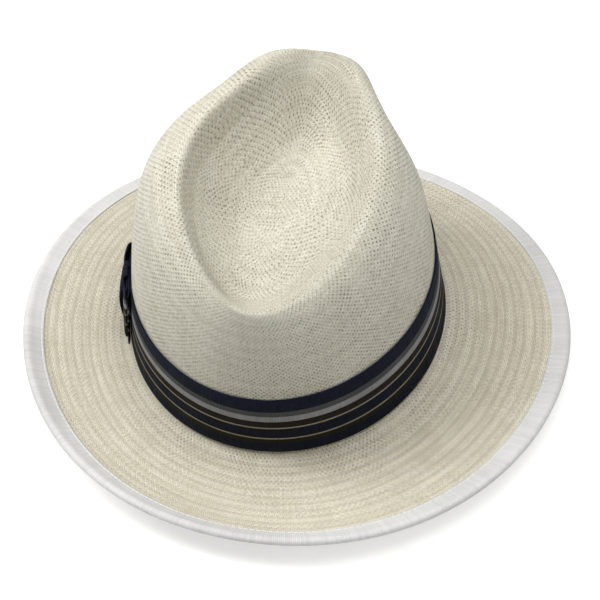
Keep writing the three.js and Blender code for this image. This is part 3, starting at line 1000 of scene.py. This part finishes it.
def strip(name, line, half_width, placed, stripes, fold=0.0, pinked=0.0):
    """A ribbon that follows a line seen edge-on, as (run, depth). Gives the piece and its length.

    placed(run, depth, across) puts it on the hat. stripes is the part of the ribbon's width that
    shows. fold is how deep its lengthwise pleats are at each point, and pinked how deep its end is
    cut in a zigzag.
    """
    across = np.linspace(-1, 1, 2 * PINKING_TEETH + 1)[:, None]
    tangent = unit(np.gradient(line, axis=0))
    normal = np.stack([-tangent[:, 1], tangent[:, 0]], -1)
    length = np.append(0, np.cumsum(np.linalg.norm(np.diff(line, axis=0), axis=1)))
    layers = []
    for side in (0.5, -0.5):
        run = line[:, 0] + normal[:, 0] * RIBBON * side + 0 * across
        run[1::2, -1] -= pinked * tangent[-1, 0]
        depth = line[:, 1] + normal[:, 1] * RIBBON * side + fold * np.cos(across * PLEATS * math.pi)
        layers.append(stand(placed(run, depth, across * half_width)))
    uv = stack(length + 0 * across, blend(stripes[0], stripes[1], (across + 1) / 2 + 0 * length))
    return slab(name, *layers, uv), length[-1]


FRONT_LOOP_LENGTH = 20
FRONT_LOOP_BULGE = 2.8
BACK_LOOP_LENGTH = 14
BACK_LOOP_BULGE = 1.5
GATHER_MM = 9
GATHER_SHARE = 0.14
PLEAT_MM = 0.25
KNOT_WAIST = 0.16
KNOT_OVERLAP = 0.9
FIRST_LAYER_MM = 0.7
LAYER_MM = 1.1


def on_bow_place(along, height, depth):
    """along is measured from the knot's middle, positive towards the front of the hat."""
    return on_wall(np.radians(BOW_AT + along / MM_PER_DEGREE), height, depth)


def along_band(run, depth, across):
    return on_bow_place(run, BAND_BOTTOM + BAND_HEIGHT / 2 + across, depth)


def up_band(run, depth, across):
    return on_bow_place(across, run, depth)


def ribbon_layer(number):
    """The middle of a layer of ribbon on the hatband, counted from the straw."""
    return FIRST_LAYER_MM + LAYER_MM * number


def add_ribbon(piece, material, replaced):
    finish_piece(piece, material, [replaced])


def bow_loop(name, length, bulge, base, towards, material, replaced):
    """A loop folded back over itself and gathered where the knot holds it.

    base is its depth on the hatband, bulge how far it stands off, and towards is 1 for the front.
    """
    line = [(0.5, base), (length * 0.35, base), (length * 0.7, base), (length - 2, base + 0.1)]
    line += [(length, base + bulge * 0.35), (length - 1.2, base + bulge * 0.78)]
    line += [(length * 0.7, base + bulge), (length * 0.4, base + bulge * 1.02)]
    line += [(0.5, base + bulge * 0.72)]
    line = smooth_line(line) * (towards, 1)
    near_knot = bell(line[:, 0], GATHER_MM)
    half_width = BAND_HEIGHT / 2 * (1 - GATHER_SHARE * near_knot)
    piece, cloth = strip(name, line, half_width, along_band, (0, 1), PLEAT_MM * near_knot)
    add_ribbon(piece, material, replaced)


def bow_tail(material):
    """The ribbon's end under the back loop, with its pinked edge curling off the hatband."""
    base = ribbon_layer(1)
    line = [(-0.5, base), (-8, base), (-13, base + 0.1), (-17, base + 0.5), (-19.5, base + 1.1)]
    line = smooth_line(line, 24)
    half_width = BAND_HEIGHT / 2
    piece, cloth = strip(
        "bow_tail_ribbon", line, half_width, along_band, (0, 1), pinked=PINKING_DEPTH
    )
    add_ribbon(piece, material, "bow_tail")


def bow_knot(material):
    """The short ribbon round the middle of the bow, folded lengthwise and tucked in at both edges."""
    low, high = BAND_BOTTOM - KNOT_OVERLAP, BAND_BOTTOM + BAND_HEIGHT + KNOT_OVERLAP
    tuck = ribbon_layer(1) + 0.3
    reach = KNOT_REACH
    span = high - low
    line = [(low, tuck), (low - 0.1, reach * 0.52), (low + span * 0.12, reach * 0.68)]
    line += [(low + span * 0.26, reach * 0.92), (low + span * 0.42, reach + 0.4)]
    line += [(low + span * 0.6, reach + 0.3), (low + span * 0.8, reach * 0.88)]
    line += [(high - 1.2, reach * 0.7), (high + 0.1, reach * 0.5), (high, tuck)]
    line = smooth_line(line)
    middle = bell(line[:, 0] - low - span / 2, span * 0.3)
    half_width = KNOT_WIDTH / 2 * (1 - KNOT_WAIST * middle)
    piece, cloth = strip("bow_knot_ribbon", line, half_width, up_band, (0.8, 1.0), PLEAT_MM)
    add_ribbon(piece, material, "bow_knot")


def bow(material):
    bow_tail(material)
    back, front = (BACK_LOOP_LENGTH, BACK_LOOP_BULGE), (FRONT_LOOP_LENGTH, FRONT_LOOP_BULGE)
    bow_loop("bow_back_ribbon", *back, ribbon_layer(2), -1, material, "bow_back_loop")
    bow_loop("bow_front_ribbon", *front, ribbon_layer(1), 1, material, "bow_front_loop")
    bow_knot(material)


def sweatband_bow(material):
    """A small flat bow over the sweatband's seam at the back, pinched in the middle."""
    across = np.linspace(-1, 1, 9)[:, None]
    along = np.linspace(-BACK_BOW_HALF, BACK_BOW_HALF, 41)
    away = np.abs(along) / BACK_BOW_HALF
    half = blend(BACK_BOW_WAIST, BACK_BOW_END, away**0.8)
    inside = -STRAW_THICKNESS - SWEATBAND_GAP - SWEATBAND_THICKNESS - BACK_BOW_THICKNESS
    crease = -0.25 * np.cos(across * 2 * math.pi) * (1 - away) - 0.5 * bell(away, 0.16)
    angle, height = np.radians(along / MM_PER_DEGREE), BACK_BOW_HEIGHT + across * half
    lifts = (BACK_BOW_THICKNESS / 2, -BACK_BOW_THICKNESS / 2)
    layers = [stand(on_wall(angle, height, inside + crease + lift)) for lift in lifts]
    uv = stack(along + 0 * across, across * half)
    piece = slab("sweatband_bow_cloth", *layers, uv)
    finish_piece(piece, material, ["sweatband_bow"])


# ---- Stage ----


FLOOR_HALF = 6.0
FLOOR_GREY = 0.6
FLOOR_GLOW = 0.5
SKY_STRENGTH = 0.03
LIGHT_DISTANCE = 1.6

# Name, direction seen from the hat, size in metres, and power in watts
LIGHTS = (
    ("overhead", (0.02, 0.0, 1.0), 1.2, 19),
    ("key_left", (0.9, 0.0, 1.0), 0.8, 18),
    ("fill_right", (-0.6, 0.3, 1.2), 1.2, 8),
    ("fill_back", (0.0, 0.9, 1.0), 1.2, 0.5),
)


def floor():
    """A pale floor that also glows a little, so that it comes out white behind the hat."""
    half = FLOOR_HALF
    corners = [(-half, -half, 0), (half, -half, 0), (half, half, 0), (-half, half, 0)]
    plane = add_mesh("floor", corners, [(0, 1, 2, 3)])
    s = Shader("pale_floor", Roughness=0.9, Specular_IOR_Level=0.1, Emission_Strength=FLOOR_GLOW)
    s.surface.inputs["Emission Color"].default_value = (1, 1, 1, 1)
    s.colour((FLOOR_GREY, FLOOR_GREY, FLOOR_GREY, 1))
    plane.data.materials.append(s.material)


def area_light(name, direction, size, power, aim):
    """A round lamp that faces the hat."""
    data = bpy.data.lights.new(name, "AREA")
    data.shape = "DISK"
    data.size = size
    data.energy = power
    lamp = bpy.data.objects.new(name, data)
    bpy.context.scene.collection.objects.link(lamp)
    away = Vector(direction).normalized()
    lamp.location = aim + away * LIGHT_DISTANCE
    lamp.rotation_mode = "QUATERNION"
    lamp.rotation_quaternion = (-away).to_track_quat("-Z", "Y")


def world():
    made = bpy.data.worlds.new("soft_sky")
    made.use_nodes = True
    background = made.node_tree.nodes["Background"]
    background.inputs["Color"].default_value = (1, 1, 1, 1)
    background.inputs["Strength"].default_value = SKY_STRENGTH
    bpy.context.scene.world = made


# The photo's own view: angles in degrees, distances in metres and the lens in mm
CAMERA_AZIMUTH = 189.48
CAMERA_ELEVATION = 42.86
CAMERA_ROLL = -0.41
CAMERA_DISTANCE = 0.62
CAMERA_LENS = 69.35
AIM_FROM_MIDDLE = (-0.0037, 0.0181, -0.0343)


def camera(middle):
    """The camera looks at a point a little off the middle of the hat's box."""
    azimuth, elevation = math.radians(CAMERA_AZIMUTH), math.radians(CAMERA_ELEVATION)
    level = math.cos(elevation)
    back = Vector((math.sin(azimuth) * level, -math.cos(azimuth) * level, math.sin(elevation)))
    data = bpy.data.cameras.new("camera")
    data.lens = CAMERA_LENS
    data.sensor_width = 36
    made = bpy.data.objects.new("camera", data)
    bpy.context.scene.collection.objects.link(made)
    made.location = middle + Vector(AIM_FROM_MIDDLE) + back * CAMERA_DISTANCE
    made.rotation_mode = "QUATERNION"
    turn = Matrix.Rotation(math.radians(CAMERA_ROLL), 4, back).to_quaternion()
    made.rotation_quaternion = turn @ (-back).to_track_quat("-Z", "Y")
    bpy.context.scene.camera = made


def stage():
    """Camera, floor, sky and lights, all placed from the middle of the CAD box."""
    middle = (cad_box[0] + cad_box[1]) / 2
    camera(middle)
    floor()
    world()
    for name, direction, size, power in LIGHTS:
        area_light(name, direction, size, power, middle)
    bpy.context.scene.view_settings.view_transform = "Standard"


stage()
straw_body()
brim_binding()
binding_stitches(thread_material())
striped = striped_material()
hatband(striped)
bow(striped)
band_cloth = twill_cloth_material()
sweatband(band_cloth)
sweatband_bow(band_cloth)
frame["nodes"]["brim_wire"].data.materials.clear()
frame["nodes"]["brim_wire"].data.materials.append(steel_material())
